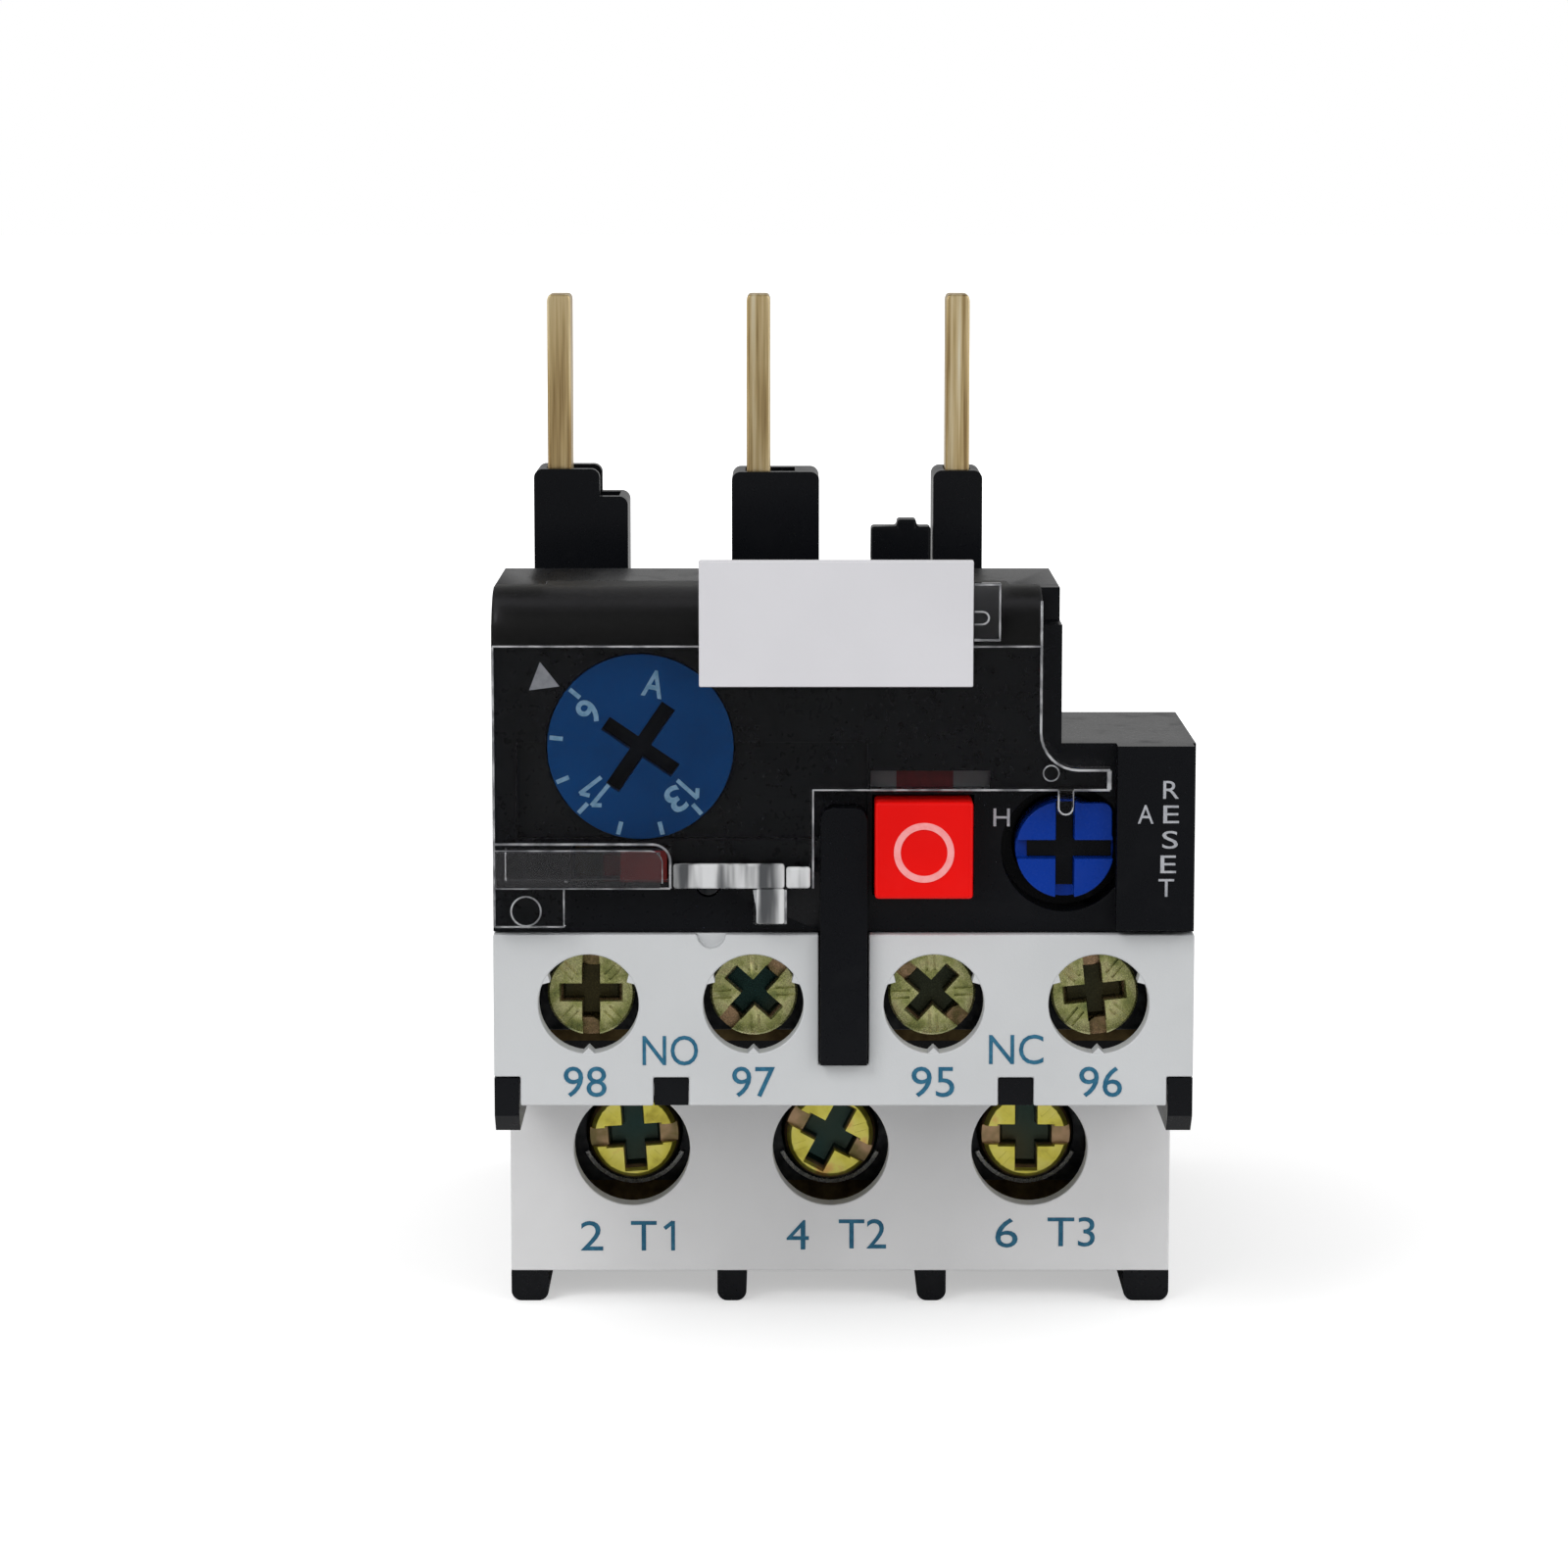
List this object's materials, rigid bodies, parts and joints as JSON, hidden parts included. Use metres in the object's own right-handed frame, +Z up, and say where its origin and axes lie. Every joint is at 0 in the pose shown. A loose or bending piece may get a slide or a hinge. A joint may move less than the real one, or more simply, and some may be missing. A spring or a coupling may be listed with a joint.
{
  "type": "thermal overload relay",
  "caption": "Three-pole plug-in thermal overload relay with current dial, stop and reset controls, screw terminals and flat connection pins.",
  "frame": {"origin": "middle of the base, at the height of the feet", "axes": "+X to the right seen from the front, +Y from the front to the back, +Z up towards the connection pins"},
  "size_m": [0.045, 0.066, 0.0682],
  "materials": {
    "black_plastic": "fine moulded texture",
    "grey_cover": "satin moulded",
    "grey_cover_dark": "satin moulded",
    "clear_plastic": "clear moulded plastic",
    "white_plastic": "satin",
    "blue_dial": "satin moulded",
    "blue_knob": "satin moulded",
    "red_plastic": "satin moulded",
    "flag_grey": "moulded, with a dark red field",
    "brass": "stamped",
    "plated_steel": "yellow-passivated zinc",
    "spring_steel": "drawn",
    "bimetal": "rolled strip",
    "sleeve": "woven glass sleeve",
    "heater": "heat-tinted ribbon"
  },
  "bodies": {
    "base": {"rear_housing": "black_plastic", "front_housing": "black_plastic", "mechanism_cover": "black_plastic", "aux_terminal_cover": "grey_cover", "main_terminal_cover": "grey_cover_dark", "adjusting_pin": "spring_steel", "lever_pin": "spring_steel", "fixing_hook": "black_plastic", "main_terminal_screws": "plated_steel", "main_clamp_washers": "plated_steel", "aux_terminal_screws": "plated_steel", "aux_clamp_washers": "plated_steel", "terminal_95": "brass", "terminal_96": "brass", "terminal_97": "brass", "terminal_98": "brass", "load_terminal_1": "brass", "load_terminal_2": "brass", "load_terminal_3": "brass", "stop_button_spring": "spring_steel", "reset_spring": "spring_steel", "pole_pin_3": "brass"},
    "cover": {"clear_cover": "clear_plastic", "marker_holder": "clear_plastic", "marker_plate": "white_plastic"},
    "dial": {"current_dial": "blue_dial"},
    "adjuster": {"adjusting_lever": "spring_steel", "compensation_bimetal": "bimetal"},
    "stop": {"stop_button": "red_plastic"},
    "plunger": {"reset_plunger": "black_plastic"},
    "knob": {"reset_knob": "blue_knob"},
    "test": {"test_slider": "red_plastic"},
    "push": {"push_bar": "black_plastic"},
    "difference": {"differential_bar": "black_plastic"},
    "lever": {"trip_lever": "black_plastic"},
    "carrier": {"contact_carrier": "black_plastic", "trip_indicator": "flag_grey"},
    "nc_blade": {"nc_moving_contact": "spring_steel"},
    "no_blade": {"no_moving_contact": "spring_steel"},
    "left_pin": {"pole_pin_1": "brass"},
    "middle_pin": {"pole_pin_2": "brass"},
    "bimetal_1": {"bimetal_strip_1": "bimetal", "insulating_sleeve_1": "sleeve", "heater_ribbon_1": "heater"},
    "bimetal_2": {"bimetal_strip_2": "bimetal", "insulating_sleeve_2": "sleeve", "heater_ribbon_2": "heater"},
    "bimetal_3": {"bimetal_strip_3": "bimetal", "insulating_sleeve_3": "sleeve", "heater_ribbon_3": "heater"}
  },
  "joints": [
    {"name": "cover_hinge", "type": "hinge", "parent": "base", "child": "cover", "pos_m": [0, -0.0248, 0.0496], "axis": [-1, 0, 0], "range_deg": [0, 90]},
    {"name": "dial_turn", "type": "hinge", "parent": "base", "child": "dial", "pos_m": [-0.013, -0.0297, 0.0405], "axis": [0, 1, 0], "range_deg": [0, 171.5]},
    {"name": "adjuster_swing", "type": "hinge", "parent": "base", "child": "adjuster", "pos_m": [-0.0087, -0.024, 0.0316], "axis": [0, -1, 0], "range_deg": [0, 11]},
    {"name": "stop_press", "type": "slide", "parent": "base", "child": "stop", "axis": [0, 1, 0], "range_m": [0, 0.0025], "stiffness_N_per_m": 400, "springref_m": -0.0015, "deforming": ["stop_button_spring"]},
    {"name": "reset_press", "type": "slide", "parent": "base", "child": "plunger", "axis": [0, 1, 0], "range_m": [0, 0.0025], "stiffness_N_per_m": 400, "springref_m": -0.0015, "deforming": ["reset_spring"]},
    {"name": "reset_select", "type": "hinge", "parent": "plunger", "child": "knob", "pos_m": [0.01415, -0.0301, 0.0339], "axis": [0, -1, 0], "range_deg": [0, 90]},
    {"name": "test_slide", "type": "slide", "parent": "base", "child": "test", "axis": [-1, 0, 0], "range_m": [0, 0.003]},
    {"name": "trip_slide", "type": "slide", "parent": "base", "child": "push", "axis": [1, 0, 0], "range_m": [0, 0.0024]},
    {"name": "phase_loss_lag", "type": "slide", "parent": "push", "child": "difference", "axis": [-1, 0, 0], "range_m": [0, 0.0024]},
    {"name": "trip_lever_turn", "type": "hinge", "parent": "base", "child": "lever", "pos_m": [0.0162, -0.009, 0.031], "axis": [0, 0, -1], "range_deg": [0, 6.12]},
    {"name": "carrier_slide", "type": "slide", "parent": "base", "child": "carrier", "axis": [-1, 0, 0], "range_m": [0, 0.0009823]},
    {"name": "nc_blade_bend", "type": "hinge", "parent": "base", "child": "nc_blade", "pos_m": [0.0068, -0.0206, 0.0312], "axis": [0, -1, 0], "range_deg": [0, 8.4]},
    {"name": "no_blade_bend", "type": "hinge", "parent": "base", "child": "no_blade", "pos_m": [-0.0048, -0.0206, 0.0312], "axis": [0, -1, 0], "range_deg": [0, 8.4]},
    {"name": "left_pin_shift", "type": "slide", "parent": "base", "child": "left_pin", "axis": [1, 0, 0], "range_m": [0, 0.0032]},
    {"name": "middle_pin_shift", "type": "slide", "parent": "base", "child": "middle_pin", "axis": [1, 0, 0], "range_m": [0, 0.0016]},
    {"name": "bimetal_bend_1", "type": "hinge", "parent": "base", "child": "bimetal_1", "pos_m": [-0.0152, 0.0155, 0.0075], "axis": [0, 1, 0], "range_deg": [0, 6.55]},
    {"name": "bimetal_bend_2", "type": "hinge", "parent": "base", "child": "bimetal_2", "pos_m": [-0.00165, 0.0155, 0.0075], "axis": [0, 1, 0], "range_deg": [0, 6.55]},
    {"name": "bimetal_bend_3", "type": "hinge", "parent": "base", "child": "bimetal_3", "pos_m": [0.0119, 0.0155, 0.0075], "axis": [0, 1, 0], "range_deg": [0, 6.55]}
  ],
  "couplings": [
    {"joint": "adjuster_swing", "follows": "dial_turn", "ratio": 0.064134},
    {"joint": "trip_lever_turn", "follows": "trip_slide", "rad_per_m": 44.444},
    {"joint": "carrier_slide", "follows": "trip_slide", "ratio": 0.40889},
    {"joint": "nc_blade_bend", "follows": "trip_slide", "rad_per_m": 61.028},
    {"joint": "no_blade_bend", "follows": "trip_slide", "rad_per_m": 61.028},
    {"joint": "bimetal_bend_1", "follows": "trip_slide", "rad_per_m": 47.619},
    {"joint": "bimetal_bend_2", "follows": "trip_slide", "rad_per_m": 47.619},
    {"joint": "bimetal_bend_3", "follows": "trip_slide", "rad_per_m": 47.619}
  ]
}
